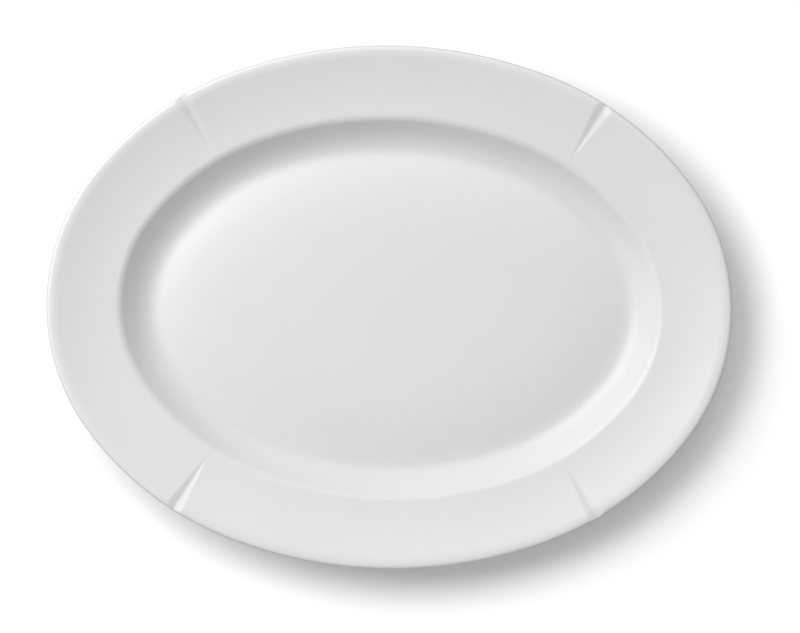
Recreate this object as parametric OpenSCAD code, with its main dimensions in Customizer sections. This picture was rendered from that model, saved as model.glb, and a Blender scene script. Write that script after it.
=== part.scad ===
// Oval serving platter in glazed china.
// The outline is an eight-centred oval: tangent arcs of three radii in each
// quarter. Rim, well wall, floor and foot ring are all parallel curves of
// it, so one cross-section, written by inset from the outline, is swept round
// the centre of every arc. Heights are above the plane that the foot stands on.

/* [Oval] */
// Overall length, along X
length = 360; // [300:5:440]
// Overall width, along Y
width = 275; // [230:5:320]
// Fullness of the two ends: 0 takes their radius from a true ellipse
end_fullness = 0.245; // [0.2:0.005:0.29]

/* [Rim] */
// Width of the rim, from the outline to the corner over the well
rim_w = 37.8; // [30:0.2:46]
// Drop of the rim face, from the lip to that corner
rim_drop = 8.4; // [6:0.1:10.5]
// Thickness of the rolled edge
edge_t = 4.4; // [3.4:0.1:5.4]
// Inset at which the rim is steepest, just inside the lip
roll_inset = 7; // [5.5:0.1:9]
// Slope of the rim there, degrees
rim_top_slope = 19; // [14:1:24]
// Slope of the rim where it meets the corner, degrees
rim_foot_slope = 8.5; // [5.5:0.5:11]

/* [Well] */
// Depth of the well, from the corner over it to the lowest ring of its floor
well_depth = 12.5; // [10:0.1:16]
// Width of the well's wall, seen from above
wall_run = 16.5; // [13:0.1:20]
// Slope at the top of the wall, degrees
wall_slope = 53; // [44:1:58]
// Length that the corner over the well is rounded back along each side
corner_run = 2.6; // [1.5:0.1:3.5]
// Rise of the floor towards the middle of the well
crown = 3.4; // [2:0.1:4.4]
// Run over which that rise starts
crown_run = 6.2; // [5:0.1:7.5]

/* [Clay] */
// Thickness of the rim and of the wall, glaze included
wall_t = 4.6; // [3.8:0.1:5.6]
// Thickness of the floor, glaze included
floor_t = 5.5; // [4.5:0.1:6.6]
// Length that the corner under the rim is rounded back along each side
under_corner_run = 3; // [2:0.1:4]

/* [Foot] */
// Depth of the recess inside the foot ring
recess_h = 3; // [2.5:0.1:3.8]
// Width of the foot ring
foot_w = 6.4; // [5.4:0.1:7.7]
// Distance of the ring's outer side outside the lowest ring of the floor
foot_out = 3.6; // [2.8:0.1:4.4]
// Slope of the wall's back where it meets the foot ring, degrees
foot_top_slope = 28; // [22:1:34]
// Rounding of the foot ring's two lower edges
foot_round = 0.9; // [0.5:0.1:1.2]
// Rounding between the foot ring's sides and the clay above them
foot_fillet = 1.6; // [1.2:0.1:2]

/* [Glaze] */
// Thickness of the glaze
glaze_t = 0.3; // [0.2:0.05:0.4]
// Height to which the foot ring is wiped clean of glaze
wipe_h = 1; // [0.9:0.05:1.2]

/* [Grooves] */
// Direction of the four grooves, turned from the long axis, degrees
groove_turn = 58.6; // [50:0.2:61]
// Width of a groove at the lip
groove_w = 8.5; // [6:0.1:10.5]
// Depth of a groove at the lip
groove_depth = 1.3; // [0.8:0.1:1.8]
// Length of a groove, from the outline to its point
groove_l = 33; // [26:0.5:36]

/* [Hidden] */
$fn = 180;

CLAY = [0.90, 0.89, 0.86];
GLAZE = [0.95, 0.95, 0.95];

// Points on each stretch of the cross-section, and on a rounded corner
STRETCH = 6;
ROUND = 4;

// ---- oval ----
half_l = length / 2;
half_w = width / 2;
// Headings of the two joints between a quarter's arcs, from the long axis. Both are
// whole-number right triangles, so that every centre and radius is a plain decimal.
END_JOINT = [0.8, 0.6];
SIDE_JOINT = [0.352, 0.936];

function to_step(value, step) = round(value / step) * step;

wanted_end_r = half_w * half_w / half_l * (1 + end_fullness * (1 - half_w / half_l));
// The two steps in radius that bring the arcs through the ends of both axes
side_step = to_step(
    (half_l - 2 * half_w + wanted_end_r) / (SIDE_JOINT[0] - (1 - SIDE_JOINT[1]) * 2), 0.125
);
end_step = to_step(
    (half_l - half_w - side_step * (SIDE_JOINT[0] + SIDE_JOINT[1] - 1))
        / (END_JOINT[0] + END_JOINT[1] - 1),
    0.005
);
end_r = half_w - end_step * (1 - END_JOINT[1]) - side_step * (1 - SIDE_JOINT[1]);
quarter_r = end_r + end_step;
side_r = quarter_r + side_step;
end_c = [end_step * END_JOINT[0] + side_step * SIDE_JOINT[0], 0];
quarter_c = end_c - end_step * END_JOINT;
side_c = quarter_c - side_step * SIDE_JOINT;

// Each arc: centre, radius, headings of its first and last joint
ARCS = [
    [end_c, end_r, flip_y(END_JOINT), END_JOINT],
    [quarter_c, quarter_r, END_JOINT, SIDE_JOINT],
    [side_c, side_r, SIDE_JOINT, flip_x(SIDE_JOINT)],
    [flip_x(quarter_c), quarter_r, flip_x(SIDE_JOINT), flip_x(END_JOINT)],
    [flip_x(end_c), end_r, flip_x(END_JOINT), -END_JOINT],
    [-quarter_c, quarter_r, -END_JOINT, -SIDE_JOINT],
    [-side_c, side_r, -SIDE_JOINT, flip_y(SIDE_JOINT)],
    [flip_y(quarter_c), quarter_r, flip_y(SIDE_JOINT), flip_y(END_JOINT)]
];

function flip_x(p) = [-p[0], p[1]];
function flip_y(p) = [p[0], -p[1]];

// ---- heights and insets ----
floor_z = recess_h + floor_t;
corner_z = floor_z + well_depth;
lip_z = corner_z + rim_drop;
edge_r = edge_t / 2;
wall_inset = rim_w + wall_run;
foot_outer = wall_inset - foot_out;
foot_inner = foot_outer + foot_w;
// The floor is level from this inset on, and the core plate closes it
level_inset = wall_inset + 0.8 * (end_r - wall_inset);
sweep_inset = level_inset + 0.5 * (end_r - level_inset);
core_inset = (level_inset + sweep_inset) / 2;

// ---- cross-section ----
// A path runs outwards over the face, round the edge and back under the rim.
// A knot is [outward position, height, heading in degrees], and a point of a
// path is [outward position, height, outward part of its normal, its upward part].

// A smooth stretch from one knot to the next, without its last point.
// Between two knots that head straight at each other it is a plain line.
function stretch(a, b) =
    let (
        across = [b[0] - a[0], b[1] - a[1]],
        reach = norm(across),
        leaving = across * [cos(a[2]), sin(a[2])],
        arriving = across * [cos(b[2]), sin(b[2])],
        n = min(leaving, arriving) > reach * (1 - 1e-6) ? 1 : STRETCH
    )
    [for (i = [0 : n - 1]) stretch_point(a, b, reach, i / n)];

function stretch_point(a, b, reach, t) =
    let (
        start = [a[0], a[1]],
        end = [b[0], b[1]],
        leave = reach * [cos(a[2]), sin(a[2])],
        arrive = reach * [cos(b[2]), sin(b[2])],
        place = (2 * t ^ 3 - 3 * t ^ 2 + 1) * start + (t ^ 3 - 2 * t ^ 2 + t) * leave
            + (3 * t ^ 2 - 2 * t ^ 3) * end + (t ^ 3 - t ^ 2) * arrive,
        way = 6 * (t ^ 2 - t) * (start - end) + (3 * t ^ 2 - 4 * t + 1) * leave
            + (3 * t ^ 2 - 2 * t) * arrive
    )
    [place[0], place[1], -way[1] / norm(way), way[0] / norm(way)];

// The stretches through a list of knots, and the last knot itself
function path(knots) = concat(
    [for (i = [0 : len(knots) - 2]) each stretch(knots[i], knots[i + 1])],
    [knot_point(knots[len(knots) - 1])]
);

function knot_point(k) = [k[0], k[1], -sin(k[2]), cos(k[2])];

// Two knots that round the corner at p, between the headings in and out
function corner(p, heading_in, heading_out, run_in, run_out) = [
    [p[0] - run_in * cos(heading_in), p[1] - run_in * sin(heading_in), heading_in],
    [p[0] + run_out * cos(heading_out), p[1] + run_out * sin(heading_out), heading_out]
];

rise = crown * 0.22;
crown_slope = atan(2.6 * (crown - rise) / (level_inset - wall_inset - crown_run));
roll_drop = 0.6 * (roll_inset - edge_r) * tan(rim_top_slope);

face_corner = corner([-rim_w, corner_z], wall_slope, rim_foot_slope, corner_run, corner_run);
FLOOR_KNOTS = [
    [-sweep_inset, floor_z + crown, 0],
    [-level_inset, floor_z + crown, 0],
    [-wall_inset - crown_run, floor_z + rise, -crown_slope],
    [-wall_inset, floor_z, 0],
    face_corner[0],
    face_corner[1]
];
RIM_KNOTS = [
    face_corner[1],
    [-roll_inset, lip_z - roll_drop, rim_top_slope],
    [-edge_r, lip_z, 0]
];

// The rolled edge, half round
EDGE = [
    for (i = [1 : 2 * ROUND - 1])
    let (turn = 90 - 90 * i / ROUND)
    [edge_r * cos(turn) - edge_r, lip_z - edge_r + edge_r * sin(turn), cos(turn), sin(turn)]
];

// The corner under the rim lies one wall thickness from both faces over it
wall_normal = [-sin(wall_slope), cos(wall_slope)];
rim_normal = [-sin(rim_foot_slope), cos(rim_foot_slope)];
under = [-rim_w, corner_z] - wall_t * (wall_normal + rim_normal) / (1 + wall_normal * rim_normal);
under_corner = corner(
    under, 180 + rim_foot_slope, 180 + wall_slope, under_corner_run, under_corner_run
);
foot_top = floor_z - floor_t + foot_fillet + tan(foot_top_slope);
foot_corner = corner(
    [-foot_outer, foot_top], 180 + foot_top_slope, 270, foot_fillet, foot_fillet
);
BACK_KNOTS = [
    [-edge_r, lip_z - edge_t, 180],
    [
        -roll_inset + wall_t * sin(rim_top_slope),
        lip_z - roll_drop - wall_t * cos(rim_top_slope),
        180 + rim_top_slope
    ],
    under_corner[0],
    under_corner[1],
    foot_corner[0],
    foot_corner[1],
    [-foot_outer, wipe_h, 270]
];

// The ceiling of the recess slopes up, as the floor over it does
ceiling_slope = atan(crown / (level_inset - foot_inner));
recess_corner = corner(
    [-foot_inner, recess_h], 90, 180 - ceiling_slope, foot_fillet, foot_fillet
);
RECESS_KNOTS = [
    [-foot_inner, wipe_h, 90],
    recess_corner[0],
    recess_corner[1],
    [-level_inset, recess_h + crown, 180 - ceiling_slope]
];

FACE = concat(path(FLOOR_KNOTS), path(RIM_KNOTS));
COAT = concat(FACE, EDGE, path(BACK_KNOTS));
recess_slope = path(RECESS_KNOTS);
RECESS = concat(
    [for (i = [0 : len(recess_slope) - 2]) recess_slope[i]],
    [for (inset = [level_inset, sweep_inset]) knot_point([-inset, recess_h + crown, 180])]
);

// A path's points, moved a depth into the piece
function sunk(points, depth) = [
    for (p = points) [p[0] - depth * p[2], p[1] - depth * p[3]]
];

function reversed(points) = [for (i = [len(points) - 1 : -1 : 0]) points[i]];

// The clay's foot, between the ends of the two coats
CLAY_FOOT = concat(
    [
        for (i = [0 : ROUND])
        let (turn = 90 * i / ROUND)
        [-foot_outer - glaze_t - foot_round * (1 - cos(turn)), foot_round * (1 - sin(turn))]
    ],
    [
        for (i = [0 : ROUND])
        let (turn = 90 * i / ROUND)
        [-foot_inner + glaze_t + foot_round * (1 - sin(turn)), foot_round * (1 - cos(turn))]
    ]
);

CLAY_SECTION = concat(sunk(COAT, glaze_t), CLAY_FOOT, sunk(RECESS, glaze_t));

// The coat's outer side, closed through the middle of the clay
mid_foot = foot_outer + foot_w / 2;
mid_floor = floor_z - floor_t / 2;
COAT_SECTION = concat(
    sunk(COAT, 0),
    [
        [-mid_foot, wipe_h],
        [-mid_foot, mid_floor],
        [-level_inset, mid_floor + crown],
        [-sweep_inset, mid_floor + crown]
    ]
);

RECESS_SECTION = concat(sunk(RECESS, 0), reversed(sunk(RECESS, glaze_t)));

// ---- solids ----
// A cross-section carried right round the oval: about each arc's centre it is
// turned full circle, and the wedge between that arc's two joints is kept.
module sweep(section) {
    far = 500;
    for (arc = ARCS)
        intersection() {
            translate([arc[0][0], arc[0][1], 0])
            rotate_extrude()
            polygon([for (p = section) [arc[1] + to_step(p[0], 0.001), to_step(p[1], 0.001)]]);
            translate([0, 0, -1])
            linear_extrude(lip_z + 2)
            polygon([arc[0], arc[0] + far * arc[2], arc[0] + far * arc[3]]);
        }
}

// The level plate in the middle, inside the sweep
module core(low, high) {
    step = 7;
    translate([0, 0, low])
    linear_extrude(high - low)
    polygon([
        for (arc = ARCS)
        let (
            first = atan2(arc[2][1], arc[2][0]),
            last = atan2(arc[3][1], arc[3][0]),
            span = last > first ? last - first : last - first + 360,
            n = ceil(span / step)
        )
        for (i = [0 : n - 1])
        let (turn = first + span * i / n)
        arc[0] + (arc[1] - core_inset) * [cos(turn), sin(turn)]
    ]);
}

// The valley of a groove, along the rim's own points and out past the edge
VALLEY = concat(
    [for (p = path(RIM_KNOTS)) if (p[0] > -groove_l - 3) [p[0], p[1] - groove_depth_at(-p[0])]],
    [[edge_r, lip_z - groove_depth]]
);

function groove_depth_at(inset) = groove_depth * (1 - inset / groove_l);

// A V-shaped cutter over that valley, its flanks at one slope all along
module groove_cutter() {
    top = lip_z + 3;
    spread = groove_w / 2 / groove_depth;
    rings = [
        for (p = VALLEY)
        [
            [p[0], 0, p[1]],
            [p[0], spread * (top - p[1]), top],
            [p[0], -spread * (top - p[1]), top]
        ]
    ];
    last = 3 * (len(VALLEY) - 1);
    translate([quarter_r, 0, 0])
    polyhedron(
        points = [for (ring = rings) each ring],
        faces = concat(
            [[0, 2, 1]],
            [
                for (i = [0 : 3 : last - 3], side = [0 : 2])
                let (next = (side + 1) % 3)
                each [[i + side, i + next, i + 3 + next], [i + side, i + 3 + next, i + 3 + side]]
            ],
            [[last, last + 1, last + 2]]
        )
    );
}

// The four grooves, all sunk a further depth
module grooves(depth) {
    flank = norm([groove_w / 2, groove_depth]) / (groove_w / 2);
    translate([0, 0, -depth * flank])
    for (x = [0, 1], y = [0, 1])
        mirror([x, 0, 0])
        mirror([0, y, 0])
        translate([quarter_c[0], quarter_c[1], 0])
        rotate([0, 0, groove_turn])
        groove_cutter();
}

module clay() {
    difference() {
        union() {
            sweep(CLAY_SECTION);
            core(recess_h + crown + glaze_t, floor_z + crown - glaze_t);
        }
        grooves(glaze_t);
    }
}

// Fired clay: rim, wall, floor and foot ring in one
module porcelain_body() {
    color(CLAY) clay();
}

// Glaze over the face, the edge and the back, down to the wiped foot
module glaze_coat() {
    color(GLAZE)
    difference() {
        union() {
            sweep(COAT_SECTION);
            core(mid_floor + crown, floor_z + crown);
        }
        grooves(0);
        clay();
    }
}

// Glaze on the underside, inside the foot ring
module base_glaze() {
    color(GLAZE) {
        sweep(RECESS_SECTION);
        core(recess_h + crown, recess_h + crown + glaze_t);
    }
}

porcelain_body();
glaze_coat();
base_glaze();
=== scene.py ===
import math

import bmesh
import bpy
from mathutils import Matrix, Vector


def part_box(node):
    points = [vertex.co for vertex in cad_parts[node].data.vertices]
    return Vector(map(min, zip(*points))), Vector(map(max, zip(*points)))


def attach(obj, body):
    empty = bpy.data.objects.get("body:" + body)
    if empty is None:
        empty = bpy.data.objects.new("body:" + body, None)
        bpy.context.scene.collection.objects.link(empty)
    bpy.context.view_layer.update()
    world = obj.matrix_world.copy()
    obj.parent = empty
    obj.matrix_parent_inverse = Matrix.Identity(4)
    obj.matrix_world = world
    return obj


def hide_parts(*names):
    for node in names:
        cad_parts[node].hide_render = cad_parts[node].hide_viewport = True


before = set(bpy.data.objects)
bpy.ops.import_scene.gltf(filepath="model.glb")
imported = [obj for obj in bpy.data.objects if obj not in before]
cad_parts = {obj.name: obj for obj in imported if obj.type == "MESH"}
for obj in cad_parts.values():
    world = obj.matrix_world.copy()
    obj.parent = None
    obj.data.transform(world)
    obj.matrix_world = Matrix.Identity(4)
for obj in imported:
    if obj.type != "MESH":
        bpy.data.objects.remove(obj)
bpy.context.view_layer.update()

# ---------------------------------------------------------------------------
# Sizes, in metres and degrees. Heights are above the plane the foot stands on,
# and an inset is measured square in from the platter's outline.
# ---------------------------------------------------------------------------

MM = 0.001

COAT_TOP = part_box("glaze_coat")[1]
HALF_LENGTH, HALF_WIDTH, LIP_HEIGHT = COAT_TOP
RECESS_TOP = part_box("base_glaze")[1]
WIPE_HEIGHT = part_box("base_glaze")[0].z
FOOT_INNER = HALF_LENGTH - RECESS_TOP.x

# The oval is drawn with arcs of three radii in each quarter
END_JOINT = Vector((0.8, 0.6))
SIDE_JOINT = Vector((0.352, 0.936))
END_STEP = 54.5 * MM
SIDE_STEP = 71.875 * MM

# Rim
RIM_WIDTH = 37.8 * MM
RIM_DROP = 8.4 * MM
EDGE_THICKNESS = 4.4 * MM
ROLL_INSET = 7 * MM
RIM_TOP_SLOPE = 19
RIM_FOOT_SLOPE = 8.5
ROLL_FULLNESS = 0.6

# Well
WALL_RUN = 16.5 * MM
WELL_DEPTH = 12.5 * MM
WALL_SLOPE = 53
CORNER_RUN = 2.6 * MM
CROWN = 3.4 * MM
CROWN_RUN = 6.2 * MM
CROWN_START_SHARE = 0.22
CROWN_FULLNESS = 2.6

# Clay, foot and glaze
WALL_THICKNESS = 4.6 * MM
UNDER_CORNER_RUN = 3 * MM
FOOT_WIDTH = 6.4 * MM
FOOT_TOP_SLOPE = 28
FOOT_ROUND = 0.9 * MM
FOOT_FILLET = 1.6 * MM
RECESS_HEIGHT = 3 * MM
LEVEL_EASE = 5 * MM
GLAZE = 0.3 * MM

# Grooves
GROOVE_HEADING = 58.6
GROOVE_WIDTH = 8.5 * MM
GROOVE_DEPTH = 1.3 * MM
GROOVE_LENGTH = 33 * MM
GROOVE_VALLEY = 0.5 * MM
GROOVE_BROW = 0.12 * MM
GROOVE_FADE = 6 * MM

# Floor and studio
FLOOR_SIZE = 8.0
CAMERA_LENS = 110
CAMERA_SENSOR = 36
VIEW_WIDTH = 419.7 * MM
VIEW_TURN = 1.18
VIEW_CENTRE = Vector((5.6 * MM, -4.8 * MM))

# ---------------------------------------------------------------------------
# The oval
# ---------------------------------------------------------------------------

END_RADIUS = HALF_WIDTH - END_STEP * (1 - END_JOINT.y) - SIDE_STEP * (1 - SIDE_JOINT.y)
END_CENTRE = Vector((HALF_LENGTH - END_RADIUS, 0))
QUARTER_CENTRE = END_CENTRE - END_STEP * END_JOINT
SIDE_CENTRE = QUARTER_CENTRE - SIDE_STEP * SIDE_JOINT
END_HEADING = math.atan2(END_JOINT.y, END_JOINT.x)
SIDE_HEADING = math.atan2(SIDE_JOINT.y, SIDE_JOINT.x)


def direction(heading):
    return Vector((math.cos(heading), math.sin(heading)))


def arc_at(heading):
    """Centre and radius of the outline's arc that faces this heading, in the first quarter."""
    if heading < END_HEADING:
        return END_CENTRE, END_RADIUS
    if heading < SIDE_HEADING:
        return QUARTER_CENTRE, END_RADIUS + END_STEP
    return SIDE_CENTRE, END_RADIUS + END_STEP + SIDE_STEP


# ---------------------------------------------------------------------------
# The cross-section: knots of (outward place, height, heading of travel)
# ---------------------------------------------------------------------------


def travel(heading):
    return direction(math.radians(heading))


def curve(start, end, points):
    """Points of (place, outward normal) on a smooth run between two knots, without the last."""
    a, b = Vector(start[:2]), Vector(end[:2])
    reach = (b - a).length
    leave, arrive = travel(start[2]) * reach, travel(end[2]) * reach
    run = []
    for i in range(points):
        t = i / points
        place = (2 * t**3 - 3 * t**2 + 1) * a + (t**3 - 2 * t**2 + t) * leave
        place += (3 * t**2 - 2 * t**3) * b + (t**3 - t**2) * arrive
        way = 6 * (t**2 - t) * (a - b) + (3 * t**2 - 4 * t + 1) * leave + (3 * t**2 - 2 * t) * arrive
        run.append((place, Vector((-way.y, way.x)).normalized()))
    return run


def run_through(knots, points):
    """The smooth runs through a list of knots, and the last knot itself."""
    run = []
    for start, end, count in zip(knots, knots[1:], points):
        run += curve(start, end, count)
    last = knots[-1]
    run.append((Vector(last[:2]), travel(last[2] + 90)))
    return run


def arc_run(centre, radius, first, last, points):
    """Points on an arc of a cross-section, both ends included; angles are of the normal."""
    run = []
    for i in range(points + 1):
        normal = travel(first + (last - first) * i / points)
        run.append((Vector(centre) + radius * normal, normal))
    return run


def corner(place, heading_in, heading_out, run):
    """Two knots that round the corner at a place."""
    before = Vector(place) - travel(heading_in) * run
    after = Vector(place) + travel(heading_out) * run
    return (*before, heading_in), (*after, heading_out)


def sunk(run, depth):
    return [place - normal * depth for place, normal in run]


CORNER_HEIGHT = LIP_HEIGHT - RIM_DROP
FLOOR_HEIGHT = CORNER_HEIGHT - WELL_DEPTH
EDGE_RADIUS = EDGE_THICKNESS / 2
WALL_INSET = RIM_WIDTH + WALL_RUN
LEVEL_INSET = WALL_INSET + 0.8 * (END_RADIUS - WALL_INSET)
SWEEP_INSET = LEVEL_INSET + 0.5 * (END_RADIUS - LEVEL_INSET)
FOOT_OUTER = FOOT_INNER - FOOT_WIDTH
ROLL_RUN = ROLL_INSET - EDGE_RADIUS
ROLL_DROP = ROLL_FULLNESS * ROLL_RUN * math.tan(math.radians(RIM_TOP_SLOPE))


def floor_run():
    """The face from the middle to the rim, and the knot that the rim starts from."""
    rise = CROWN_START_SHARE * CROWN
    run = LEVEL_INSET - WALL_INSET - CROWN_RUN
    slope = math.degrees(math.atan(CROWN_FULLNESS * (CROWN - rise) / run))
    low, high = corner((-RIM_WIDTH, CORNER_HEIGHT), WALL_SLOPE, RIM_FOOT_SLOPE, CORNER_RUN)
    knots = [
        (-SWEEP_INSET, FLOOR_HEIGHT + CROWN, 0),
        (-LEVEL_INSET, FLOOR_HEIGHT + CROWN, 0),
        (-WALL_INSET - CROWN_RUN, FLOOR_HEIGHT + rise, -slope),
        (-WALL_INSET, FLOOR_HEIGHT, 0),
        low,
        high,
    ]
    return run_through(knots, [1, 18, 8, 20, 12]), high


def rim_run(start):
    knots = [
        start,
        (-ROLL_INSET, LIP_HEIGHT - ROLL_DROP, RIM_TOP_SLOPE),
        (-EDGE_RADIUS, LIP_HEIGHT, 0),
    ]
    return run_through(knots, [22, 8])


def edge_run():
    """The rolled edge, without the ends that its neighbours hold."""
    centre = (-EDGE_RADIUS, LIP_HEIGHT - EDGE_RADIUS)
    return arc_run(centre, EDGE_RADIUS, 90, -90, 18)[1:-1]


def back_run():
    """From under the edge in along the back, and down the foot's outer side."""
    wall_normal, rim_normal = travel(WALL_SLOPE + 90), travel(RIM_FOOT_SLOPE + 90)
    through = (wall_normal + rim_normal) / (1 + wall_normal.dot(rim_normal))
    under = Vector((-RIM_WIDTH, CORNER_HEIGHT)) - WALL_THICKNESS * through
    upper, lower = corner(under, 180 + RIM_FOOT_SLOPE, 180 + WALL_SLOPE, UNDER_CORNER_RUN)
    foot_top = RECESS_HEIGHT + FOOT_FILLET + math.tan(math.radians(FOOT_TOP_SLOPE)) * MM
    turn_in, turn_down = corner((-FOOT_OUTER, foot_top), 180 + FOOT_TOP_SLOPE, 270, FOOT_FILLET)
    below = travel(RIM_TOP_SLOPE + 90) * WALL_THICKNESS
    knots = [
        (-EDGE_RADIUS, LIP_HEIGHT - EDGE_THICKNESS, 180),
        (-ROLL_INSET - below.x, LIP_HEIGHT - ROLL_DROP - below.y, 180 + RIM_TOP_SLOPE),
        upper,
        lower,
        turn_in,
        turn_down,
        (-FOOT_OUTER, WIPE_HEIGHT, 270),
    ]
    return run_through(knots, [6, 16, 8, 12, 8, 2])


def recess_run():
    """Up the foot's inner side and over the underside to the middle."""
    gradient = CROWN / (LEVEL_INSET - FOOT_INNER)
    slope = math.degrees(math.atan(gradient))
    low, high = corner((-FOOT_INNER, RECESS_HEIGHT), 90, 180 - slope, FOOT_FILLET)
    ceiling = RECESS_HEIGHT + CROWN
    knots = [
        (-FOOT_INNER, WIPE_HEIGHT, 90),
        low,
        high,
        (-LEVEL_INSET + LEVEL_EASE, ceiling - LEVEL_EASE * gradient, 180 - slope),
        (-LEVEL_INSET - LEVEL_EASE, ceiling, 180),
        (-SWEEP_INSET, ceiling, 180),
    ]
    return run_through(knots, [2, 8, 6, 6, 1])


def foot_places():
    """The clay's foot: down its outer side, across, and up its inner side."""
    outer = arc_run((-FOOT_OUTER - GLAZE - FOOT_ROUND, FOOT_ROUND), FOOT_ROUND, 0, -90, 5)
    inner = arc_run((-FOOT_INNER + GLAZE + FOOT_ROUND, FOOT_ROUND), FOOT_ROUND, 270, 180, 5)
    return [place for place, _ in outer + inner]


def glaze_end(place, normal):
    """The rounded lower end of a coat, from its outer side round to the clay."""
    middle = place - normal * GLAZE / 2
    down = Vector((0, -1))
    turns = [math.radians(30 * i) for i in range(1, 6)]
    return [middle + (normal * math.cos(t) + down * math.sin(t)) * GLAZE / 2 for t in turns]


# ---------------------------------------------------------------------------
# Turning a cross-section into a piece
# ---------------------------------------------------------------------------

FINE_SPAN = 2.4
FINE_STEPS = 24
WIDE_STEP = 1.1
SEAM = 0.002 * MM


def spans():
    """Turns and steps over one quarter: fine over its groove, wider on both sides."""
    before = GROOVE_HEADING - FINE_SPAN
    after = 90 - GROOVE_HEADING - FINE_SPAN
    return (
        (before, math.ceil(before / WIDE_STEP)),
        (2 * FINE_SPAN, FINE_STEPS),
        (after, math.ceil(after / WIDE_STEP)),
    )


def draw_section(bm, places, sunk_layer, depths):
    """The cross-section as a line of vertices, drawn on the end arc's radius."""
    verts = []
    for place, depth in zip(places, depths):
        vert = bm.verts.new((END_RADIUS + place.x, 0, place.y))
        vert[sunk_layer] = depth
        verts.append(vert)
    return verts + [bm.edges.new(pair) for pair in zip(verts, verts[1:])]


def sweep_quarter(bm, section):
    """The section turned through a quarter, then every vertex slid out to its own arc."""
    geom = section
    for turn, steps in spans():
        made = bmesh.ops.spin(
            bm, geom=geom, cent=(0, 0, 0), axis=(0, 0, 1), dvec=(0, 0, 0),
            angle=-math.radians(turn), steps=steps, use_merge=False, use_duplicate=False,
        )
        geom = made["geom_last"]
    for vert in bm.verts:
        heading = abs(math.atan2(vert.co.y, vert.co.x))
        centre, radius = arc_at(heading)
        outward = math.hypot(vert.co.x, vert.co.y) - END_RADIUS
        vert.co.x, vert.co.y = centre + (radius + outward) * direction(heading)


def mirror_quarter(bm):
    """The other three quarters, joined on the long and the short axis."""
    for axis, normal in (("X", 0), ("Y", 1)):
        for vert in bm.verts:
            if abs(vert.co[normal]) < SEAM:
                vert.co[normal] = 0
        bmesh.ops.mirror(bm, geom=bm.verts[:] + bm.edges[:] + bm.faces[:], merge_dist=SEAM, axis=axis)


def inset_at(place):
    """Inset from the outline of a place in plan."""
    side = Vector((abs(place.x), abs(place.y)))
    for centre, radius, first, last in (
        (END_CENTRE, END_RADIUS, -math.pi, END_HEADING),
        (QUARTER_CENTRE, END_RADIUS + END_STEP, END_HEADING, SIDE_HEADING),
        (SIDE_CENTRE, END_RADIUS + END_STEP + SIDE_STEP, SIDE_HEADING, math.pi),
    ):
        away = side - centre
        if first <= math.atan2(away.y, away.x) <= last:
            return radius - away.length
    return END_RADIUS


def soft_least(a, b, soft):
    """The lesser of two heights, blended over a soft range."""
    if abs(a - b) >= soft:
        return min(a, b)
    overlap = (soft - abs(a - b)) / soft
    return min(a, b) - soft * overlap * overlap / 4


def soft_size(value, soft):
    return math.hypot(value, soft) - soft


RIM_LINE = [(-place.x, place.y) for place, _ in reversed(rim_run(floor_run()[1]))]


def rim_height(inset):
    """Height of the rim's face at an inset; level from the lip outwards."""
    for (outer, outer_height), (inner, inner_height) in zip(RIM_LINE, RIM_LINE[1:]):
        if inset <= inner:
            share = max(0, (inset - outer) / (inner - outer))
            return outer_height + (inner_height - outer_height) * share
    return RIM_LINE[-1][1]


def press_grooves(bm, sunk_layer, pool_layer):
    """A tapering V groove, pressed from the lip to just short of the corner."""
    flank = GROOVE_DEPTH / (GROOVE_WIDTH / 2)
    groove_way = direction(math.radians(GROOVE_HEADING))
    across = Vector((-groove_way.y, groove_way.x))
    for vert in bm.verts:
        away = vert.co.xy - QUARTER_CENTRE
        aside = away.dot(across)
        inset = END_RADIUS + END_STEP - away.dot(groove_way)
        if abs(aside) > GROOVE_WIDTH or not -EDGE_RADIUS < inset < GROOVE_LENGTH + GROOVE_FADE:
            continue
        depth = GROOVE_DEPTH * (1 - max(inset, 0) / GROOVE_LENGTH)
        valley = rim_height(inset) - depth - vert[sunk_layer] * math.hypot(1, flank)
        cut = valley + flank * soft_size(aside, GROOVE_VALLEY)
        pressed = soft_least(vert.co.z, cut, GROOVE_BROW)
        vert[pool_layer] = min(1, (vert.co.z - pressed) / GROOVE_DEPTH)
        vert.co.z = pressed


def bump_at(value, middle, spread):
    return math.exp(-(((value - middle) / spread) ** 2))


POOL_DEEPEST = 0.7
POOL_SPREAD = 3.5 * MM
POOL_SHIFT = 1.5 * MM
LIP_THIN_INSET = 1.2 * MM
LIP_THIN_SPREAD = 1.6 * MM
CORNER_THINNESS = 0.5
CORNER_THIN_SPREAD = 1.5 * MM


def note_glaze(bm, inset_layer, pool_layer, thin_layer):
    """How the glaze lay as it melted: pooled in hollows, drawn thin over edges."""
    for vert in bm.verts:
        inset = inset_at(vert.co)
        vert[inset_layer] = inset
        vert[pool_layer] += POOL_DEEPEST * bump_at(inset, WALL_INSET - POOL_SHIFT, POOL_SPREAD)
        vert[thin_layer] = bump_at(inset, LIP_THIN_INSET, LIP_THIN_SPREAD)
        vert[thin_layer] += CORNER_THINNESS * bump_at(inset, RIM_WIDTH, CORNER_THIN_SPREAD)


def close_middle(bm):
    open_edges = [edge for edge in bm.edges if edge.is_boundary]
    bmesh.ops.edgeloop_fill(bm, edges=open_edges)


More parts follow.
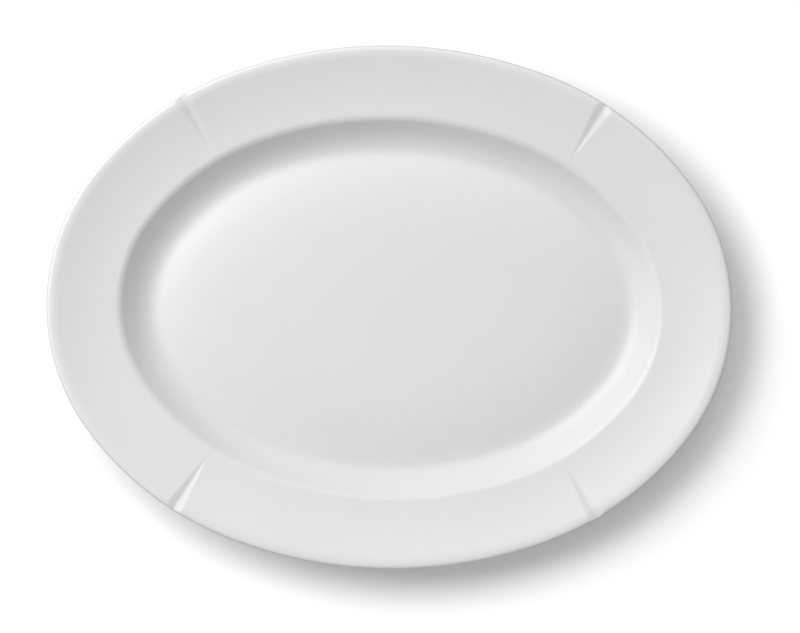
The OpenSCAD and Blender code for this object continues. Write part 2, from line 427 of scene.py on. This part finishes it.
def make_piece(name, places, depths, material):
    """A piece swept from its cross-section, its glaze noted, riding on the root."""
    bm = bmesh.new()
    names = ("sunk", "inset", "pool", "thin")
    sunk_layer, inset_layer, pool_layer, thin_layer = (
        bm.verts.layers.float.new(layer) for layer in names
    )
    section = draw_section(bm, places, sunk_layer, depths)
    sweep_quarter(bm, section)
    press_grooves(bm, sunk_layer, pool_layer)
    note_glaze(bm, inset_layer, pool_layer, thin_layer)
    mirror_quarter(bm)
    close_middle(bm)
    bmesh.ops.recalc_face_normals(bm, faces=bm.faces)
    for face in bm.faces:
        face.smooth = True
    mesh = bpy.data.meshes.new(name)
    bm.to_mesh(mesh)
    bm.free()
    piece = bpy.data.objects.new(name, mesh)
    bpy.context.scene.collection.objects.link(piece)
    piece.data.materials.append(material)
    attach(piece, "root")
    return piece


# ---------------------------------------------------------------------------
# Effects that more than one finish uses
# ---------------------------------------------------------------------------


def feed(tree, socket, value):
    """Joins a socket to another one, or sets it to a plain value."""
    if isinstance(value, bpy.types.NodeSocket):
        tree.links.new(value, socket)
    else:
        socket.default_value = value


def add_node(tree, kind, inputs=None, **settings):
    """A node with its settings, and its inputs fed."""
    node = tree.nodes.new(kind)
    for name, value in settings.items():
        setattr(node, name, value)
    for name, value in (inputs or {}).items():
        feed(tree, node.inputs[name], value)
    return node


def start_group(name, inputs, outputs):
    """An empty effect with named sockets; gives back the tree, its start and its end."""
    tree = bpy.data.node_groups.new(name, "ShaderNodeTree")
    for label, kind in inputs:
        tree.interface.new_socket(label, in_out="INPUT", socket_type=kind)
    for label, kind in outputs:
        tree.interface.new_socket(label, in_out="OUTPUT", socket_type=kind)
    return tree, tree.nodes.new("NodeGroupInput"), tree.nodes.new("NodeGroupOutput")


def use_group(tree, group, inputs):
    return add_node(tree, "ShaderNodeGroup", inputs, node_tree=group)


def make_tone_drift():
    """Slow change of tone over a surface, as firing leaves it: 0 to 1."""
    tree, start, end = start_group(
        "tone_drift",
        [("Vector", "NodeSocketVector"), ("Patches per Metre", "NodeSocketFloat")],
        [("Tone", "NodeSocketFloat")],
    )
    noise = add_node(tree, "ShaderNodeTexNoise", {
        "Vector": start.outputs["Vector"], "Scale": start.outputs["Patches per Metre"],
        "Detail": 3.0, "Roughness": 0.45,
    })
    spread = add_node(tree, "ShaderNodeMapRange", {
        "Value": noise.outputs["Fac"], "From Min": 0.3, "From Max": 0.7,
    }, interpolation_type="SMOOTHSTEP")
    tree.links.new(spread.outputs["Result"], end.inputs["Tone"])
    return tree


def make_body_specks():
    """Scattered fine specks of the clay body, as a mask."""
    tree, start, end = start_group(
        "body_specks",
        [("Vector", "NodeSocketVector"), ("Cells per Metre", "NodeSocketFloat"),
         ("Share", "NodeSocketFloat"), ("Size", "NodeSocketFloat")],
        [("Mask", "NodeSocketFloat")],
    )
    cells = add_node(tree, "ShaderNodeTexVoronoi", {
        "Vector": start.outputs["Vector"], "Scale": start.outputs["Cells per Metre"],
    })
    dot = add_node(tree, "ShaderNodeMapRange", {
        "Value": cells.outputs["Distance"], "From Min": 0.0,
        "From Max": start.outputs["Size"], "To Min": 1.0, "To Max": 0.0,
    }, interpolation_type="SMOOTHSTEP")
    lot = add_node(tree, "ShaderNodeSeparateColor", {"Color": cells.outputs["Color"]})
    picked = add_node(tree, "ShaderNodeMath", {
        0: lot.outputs["Red"], 1: start.outputs["Share"],
    }, operation="LESS_THAN")
    mask = add_node(tree, "ShaderNodeMath", {
        0: dot.outputs["Result"], 1: picked.outputs["Value"],
    }, operation="MULTIPLY")
    tree.links.new(mask.outputs["Value"], end.inputs["Mask"])
    return tree


def make_fine_relief():
    """Two sizes of unevenness in a surface, each by its own depth in metres."""
    tree, start, end = start_group(
        "fine_relief",
        [("Vector", "NodeSocketVector"), ("Waves per Metre", "NodeSocketFloat"),
         ("Wave Depth", "NodeSocketFloat"), ("Grains per Metre", "NodeSocketFloat"),
         ("Grain Depth", "NodeSocketFloat")],
        [("Height", "NodeSocketFloat")],
    )
    waves = add_node(tree, "ShaderNodeTexNoise", {
        "Vector": start.outputs["Vector"], "Scale": start.outputs["Waves per Metre"],
        "Detail": 1.0,
    })
    grain = add_node(tree, "ShaderNodeTexNoise", {
        "Vector": start.outputs["Vector"], "Scale": start.outputs["Grains per Metre"],
        "Detail": 2.0,
    })
    deep = add_node(tree, "ShaderNodeMath", {
        0: waves.outputs["Fac"], 1: start.outputs["Wave Depth"],
    }, operation="MULTIPLY")
    both = add_node(tree, "ShaderNodeMath", {
        0: grain.outputs["Fac"], 1: start.outputs["Grain Depth"], 2: deep.outputs["Value"],
    }, operation="MULTIPLY_ADD")
    tree.links.new(both.outputs["Value"], end.inputs["Height"])
    return tree


# ---------------------------------------------------------------------------
# Finishes
# ---------------------------------------------------------------------------

COOL_WHITE = (0.770, 0.778, 0.778, 1)
WARM_WHITE = (0.786, 0.786, 0.780, 1)
POOL_TINT = (0.722, 0.742, 0.744, 1)
THIN_TINT = (0.800, 0.796, 0.786, 1)
# Painted shade: grey for a thin line along the outermost edge
EDGE_PAINTED_SHADE_GREY = (0.520, 0.525, 0.520, 1)
EDGE_LINE = 1.0 * MM
EDGE_LINE_FULL = 0.35 * MM
SPECK_TAN = (0.50, 0.45, 0.38, 1)
BISQUE_PALE = (0.80, 0.77, 0.72, 1)
BISQUE_WARM = (0.74, 0.70, 0.64, 1)
PAPER_WHITE = (0.95, 0.95, 0.95, 1)
PAPER_SHADE = (0.935, 0.935, 0.935, 1)
# Painted light: the paper's emission, dim beside the rim and brighter further out
PAINTED_GLOW_NEAR = (0.055, 0.055, 0.055, 1)
PAINTED_GLOW_FAR = (0.30, 0.30, 0.30, 1)
GLOW_START = 2 * MM
GLOW_REACH = 34 * MM


def new_finish(name):
    material = bpy.data.materials.new(name)
    material.use_nodes = True
    tree = material.node_tree
    place = tree.nodes.new("ShaderNodeTexCoord").outputs["Object"]
    return material, tree, tree.nodes["Principled BSDF"], place


def mix_colours(tree, share, first, second):
    mix = add_node(tree, "ShaderNodeMix", {"Factor": share}, data_type="RGBA")
    feed(tree, mix.inputs[6], first)
    feed(tree, mix.inputs[7], second)
    return mix.outputs[2]


def noted(tree, name):
    return add_node(tree, "ShaderNodeAttribute", attribute_name=name).outputs["Fac"]


def clear_glaze(drift, specks, relief):
    """White glaze: cooler where it pooled, whiter where thin, with painted shade as a grey line at
    the outermost edge.
    """
    material, tree, shader, place = new_finish("white_glaze")
    tone = use_group(tree, drift, {"Vector": place, "Patches per Metre": 14.0})
    colour = mix_colours(tree, tone.outputs["Tone"], COOL_WHITE, WARM_WHITE)
    colour = mix_colours(tree, noted(tree, "thin"), colour, THIN_TINT)
    colour = mix_colours(tree, noted(tree, "pool"), colour, POOL_TINT)
    # Painted shade: the outermost edge is greyed as if in shade, fully grey within 0.35 mm of the
    # outline and fading out by 1 mm in
    painted_edge_shade = add_node(tree, "ShaderNodeMapRange", {
        "Value": noted(tree, "inset"), "From Min": EDGE_LINE, "From Max": EDGE_LINE_FULL,
    })
    colour = mix_colours(tree, painted_edge_shade.outputs["Result"], colour, EDGE_PAINTED_SHADE_GREY)
    speck = use_group(tree, specks, {
        "Vector": place, "Cells per Metre": 160.0, "Share": 0.012, "Size": 0.035,
    })
    faint = add_node(tree, "ShaderNodeMath", {0: speck.outputs["Mask"], 1: 0.55},
                     operation="MULTIPLY")
    colour = mix_colours(tree, faint.outputs["Value"], colour, SPECK_TAN)
    tree.links.new(colour, shader.inputs["Base Color"])
    handled = use_group(tree, drift, {"Vector": place, "Patches per Metre": 55.0})
    gloss = add_node(tree, "ShaderNodeMapRange", {
        "Value": handled.outputs["Tone"], "To Min": 0.30, "To Max": 0.36,
    })
    tree.links.new(gloss.outputs["Result"], shader.inputs["Roughness"])
    shader.inputs["IOR"].default_value = 1.5
    shader.inputs["Specular IOR Level"].default_value = 0.35
    uneven = use_group(tree, relief, {
        "Vector": place, "Waves per Metre": 70.0, "Wave Depth": 0.06 * MM,
        "Grains per Metre": 420.0, "Grain Depth": 0.004 * MM,
    })
    pitted = add_node(tree, "ShaderNodeMath", {
        0: speck.outputs["Mask"], 1: -0.02 * MM, 2: uneven.outputs["Height"],
    }, operation="MULTIPLY_ADD")
    bump = add_node(tree, "ShaderNodeBump", {
        "Height": pitted.outputs["Value"], "Strength": 1.0, "Distance": 1.0,
    })
    tree.links.new(bump.outputs["Normal"], shader.inputs["Normal"])
    return material


def ground_foot(drift, specks, relief):
    """Bare fired clay: matt, a little warm, ground smooth along the foot ring."""
    material, tree, shader, place = new_finish("bare_clay")
    tone = use_group(tree, drift, {"Vector": place, "Patches per Metre": 45.0})
    colour = mix_colours(tree, tone.outputs["Tone"], BISQUE_PALE, BISQUE_WARM)
    speck = use_group(tree, specks, {
        "Vector": place, "Cells per Metre": 520.0, "Share": 0.06, "Size": 0.16,
    })
    colour = mix_colours(tree, speck.outputs["Mask"], colour, SPECK_TAN)
    tree.links.new(colour, shader.inputs["Base Color"])
    around = add_node(tree, "ShaderNodeVectorMath", {0: place}, operation="NORMALIZE")
    parts = add_node(tree, "ShaderNodeSeparateXYZ", {"Vector": around.outputs["Vector"]})
    along = add_node(tree, "ShaderNodeCombineXYZ", {
        "X": parts.outputs["X"], "Y": parts.outputs["Y"], "Z": noted(tree, "inset"),
    })
    streaks = add_node(tree, "ShaderNodeMapping", {
        "Vector": along.outputs["Vector"], "Scale": (0.02, 0.02, 2.2),
    })
    ground = use_group(tree, relief, {
        "Vector": streaks.outputs["Vector"], "Waves per Metre": 900.0, "Wave Depth": 0.02 * MM,
        "Grains per Metre": 2600.0, "Grain Depth": 0.008 * MM,
    })
    sandy = use_group(tree, relief, {
        "Vector": place, "Waves per Metre": 1500.0, "Wave Depth": 0.03 * MM,
        "Grains per Metre": 4200.0, "Grain Depth": 0.02 * MM,
    })
    height = add_node(tree, "ShaderNodeMath", {
        0: ground.outputs["Height"], 1: sandy.outputs["Height"],
    }, operation="ADD")
    bump = add_node(tree, "ShaderNodeBump", {
        "Height": height.outputs["Value"], "Strength": 0.8, "Distance": 1.0,
    })
    tree.links.new(bump.outputs["Normal"], shader.inputs["Normal"])
    rub = add_node(tree, "ShaderNodeMapRange", {
        "Value": tone.outputs["Tone"], "To Min": 0.66, "To Max": 0.82,
    })
    tree.links.new(rub.outputs["Result"], shader.inputs["Roughness"])
    return material


def paper_with_painted_glow(drift, relief):
    """White paper with painted light: a glow of its own that grows with the distance from the
    platter's rim.
    """
    material, tree, shader, place = new_finish("paper_with_painted_glow")
    tone = use_group(tree, drift, {"Vector": place, "Patches per Metre": 6.0})
    colour = mix_colours(tree, tone.outputs["Tone"], PAPER_WHITE, PAPER_SHADE)
    tree.links.new(colour, shader.inputs["Base Color"])
    fibres = use_group(tree, relief, {
        "Vector": place, "Waves per Metre": 300.0, "Wave Depth": 0.02 * MM,
        "Grains per Metre": 2400.0, "Grain Depth": 0.01 * MM,
    })
    bump = add_node(tree, "ShaderNodeBump", {
        "Height": fibres.outputs["Height"], "Strength": 0.3, "Distance": 1.0,
    })
    tree.links.new(bump.outputs["Normal"], shader.inputs["Normal"])
    shader.inputs["Roughness"].default_value = 0.9
    shader.inputs["Specular IOR Level"].default_value = 0.0
    # Painted light: the emission rises with the distance from the rim, so the floor is lit brighter
    # away from the platter and left darker beside it
    oval = add_node(tree, "ShaderNodeMapping", {
        "Vector": place, "Scale": (1 / HALF_LENGTH, 1 / HALF_WIDTH, 0),
    })
    reach = add_node(tree, "ShaderNodeVectorMath", {0: oval.outputs["Vector"]},
                     operation="LENGTH")
    from_middle = add_node(tree, "ShaderNodeVectorMath", {0: place}, operation="LENGTH")
    to_rim = add_node(tree, "ShaderNodeMath", {
        0: from_middle.outputs["Value"], 1: reach.outputs["Value"],
    }, operation="DIVIDE")
    away = add_node(tree, "ShaderNodeMath", {
        0: from_middle.outputs["Value"], 1: to_rim.outputs["Value"],
    }, operation="SUBTRACT")
    lit = add_node(tree, "ShaderNodeMapRange", {
        "Value": away.outputs["Value"], "From Min": GLOW_START, "From Max": GLOW_REACH,
    }, interpolation_type="SMOOTHSTEP")
    glow = mix_colours(tree, lit.outputs["Result"], PAINTED_GLOW_NEAR, PAINTED_GLOW_FAR)
    tree.links.new(glow, shader.inputs["Emission Color"])
    shader.inputs["Emission Strength"].default_value = 1.0
    return material


# ---------------------------------------------------------------------------
# The platter
# ---------------------------------------------------------------------------


def every_third(run):
    return run[:-1:3] + run[-1:]


def make_glaze_skin(face, material):
    """The coat over the face, the rolled edge, the back and the foot's outer side."""
    end_place, end_normal = face[-1]
    outer = sunk(face, 0) + glaze_end(end_place, end_normal)
    inner = sunk(reversed(every_third(face)), GLAZE)
    depths = [0] * len(outer) + [GLAZE] * len(inner)
    skin = make_piece("glaze_skin", outer + inner, depths, material)
    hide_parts("glaze_coat")


def make_casting(face, recess, material):
    """The clay inside the glaze, which shows on the foot it stands on."""
    places = sunk(every_third(face), GLAZE) + foot_places() + sunk(recess, GLAZE)
    casting = make_piece("clay_casting", places, [GLAZE] * len(places), material)
    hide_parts("porcelain_body")


def make_underside_glaze(recess, material):
    """The coat inside the foot: up its inner side and over the underside."""
    start_place, start_normal = recess[0]
    end = glaze_end(start_place, start_normal)
    places = sunk(reversed(recess), 0) + end + sunk(recess, GLAZE)
    skin = make_piece("underside_glaze", places, [0] * len(places), material)
    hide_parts("base_glaze")


def make_platter(glaze, bare_clay):
    well, shoulder = floor_run()
    face = well[:-1] + rim_run(shoulder) + edge_run() + back_run()
    recess = recess_run()
    make_glaze_skin(face, glaze)
    make_casting(face, recess, bare_clay)
    make_underside_glaze(recess, glaze)


# ---------------------------------------------------------------------------
# Studio
# ---------------------------------------------------------------------------

KEY_AZIMUTH = 144
KEY_ELEVATION = 46
KEY_DISTANCE = 1.6
KEY_SIZE = 1.3
KEY_WATTS = 21.0
TOP_AZIMUTH = 80
TOP_ELEVATION = 60
TOP_DISTANCE = 1.8
TOP_SIZE = 1.1
TOP_WATTS = 2.7
SKY_STRENGTH = 0.36


def make_floor(paper):
    bm = bmesh.new()
    bmesh.ops.create_grid(bm, x_segments=4, y_segments=4, size=FLOOR_SIZE / 2)
    mesh = bpy.data.meshes.new("studio_floor")
    bm.to_mesh(mesh)
    bm.free()
    floor = bpy.data.objects.new("studio_floor", mesh)
    bpy.context.scene.collection.objects.link(floor)
    floor.data.materials.append(paper)


def hang_softbox(name, azimuth, elevation, distance, size, watts):
    """A round softbox that faces the platter."""
    data = bpy.data.lights.new(name, "AREA")
    data.shape = "DISK"
    data.size = size
    data.energy = watts
    softbox = bpy.data.objects.new(name, data)
    bpy.context.scene.collection.objects.link(softbox)
    tilt = math.radians(elevation)
    flat = direction(math.radians(azimuth)) * math.cos(tilt)
    place = Vector((*flat, math.sin(tilt))) * distance
    softbox.location = place
    softbox.rotation_euler = (-place).to_track_quat("-Z", "Y").to_euler()


def make_lights():
    hang_softbox("key_softbox", KEY_AZIMUTH, KEY_ELEVATION, KEY_DISTANCE, KEY_SIZE, KEY_WATTS)
    hang_softbox("top_softbox", TOP_AZIMUTH, TOP_ELEVATION, TOP_DISTANCE, TOP_SIZE, TOP_WATTS)
    world = bpy.data.worlds.new("studio")
    world.use_nodes = True
    background = world.node_tree.nodes["Background"]
    background.inputs["Color"].default_value = (1, 1, 1, 1)
    background.inputs["Strength"].default_value = SKY_STRENGTH
    bpy.context.scene.world = world


def make_camera():
    data = bpy.data.cameras.new("overhead")
    data.lens = CAMERA_LENS
    data.sensor_width = CAMERA_SENSOR
    camera = bpy.data.objects.new("overhead", data)
    bpy.context.scene.collection.objects.link(camera)
    turn = math.radians(VIEW_TURN)
    aim = Matrix.Rotation(turn, 2) @ VIEW_CENTRE
    height = VIEW_WIDTH * CAMERA_LENS / CAMERA_SENSOR
    camera.location = (aim.x, aim.y, LIP_HEIGHT - EDGE_RADIUS + height)
    camera.rotation_euler = (0, 0, turn)
    bpy.context.scene.camera = camera


tone_drift = make_tone_drift()
body_specks = make_body_specks()
fine_relief = make_fine_relief()
make_platter(
    clear_glaze(tone_drift, body_specks, fine_relief),
    ground_foot(tone_drift, body_specks, fine_relief),
)
make_floor(paper_with_painted_glow(tone_drift, fine_relief))
make_lights()
make_camera()
bpy.context.scene.view_settings.view_transform = "Standard"
